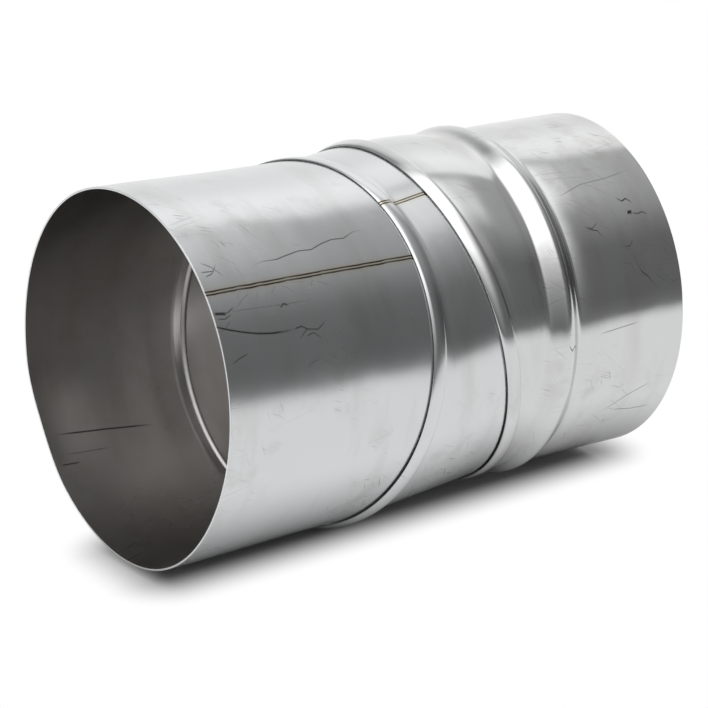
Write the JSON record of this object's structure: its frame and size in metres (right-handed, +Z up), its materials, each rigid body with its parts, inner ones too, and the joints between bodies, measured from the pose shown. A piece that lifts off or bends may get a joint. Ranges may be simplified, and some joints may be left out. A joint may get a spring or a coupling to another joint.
{
  "type": "chimney elbow pipe",
  "caption": "Adjustable stainless sheet-steel flue elbow: mitred sections that swivel in rolled beads, a plain socket mouth and a spigot with a rounded stop bead.",
  "frame": {"origin": "centre of the spigot's rim, the plain end that goes into the next pipe", "axes": "+Z up along the spigot's axis towards the socket mouth; +X towards the long side of the spigot section's mitre; the swivels are at the setting of the picture"},
  "size_m": [0.1697, 0.1803, 0.2616],
  "materials": {
    "stainless_sheet": "cold-rolled satin stainless sheet, lightly scratched, with a heat-tinted lengthwise weld"
  },
  "bodies": {
    "spigot": {"spigot_section": "stainless_sheet"},
    "gore": {"middle_gore": "stainless_sheet"},
    "socket": {"socket_section": "stainless_sheet"}
  },
  "joints": [
    {"name": "lower_swivel", "type": "hinge", "parent": "spigot", "child": "gore", "pos_m": [0, 0, 0.106], "axis": [-0.1951, 0, 0.9808], "continuous": true},
    {"name": "upper_swivel", "type": "hinge", "parent": "gore", "child": "socket", "pos_m": [-0.00318, -0.00793, 0.16337], "axis": [0.0875, -0.2682, 0.9594], "continuous": true}
  ]
}
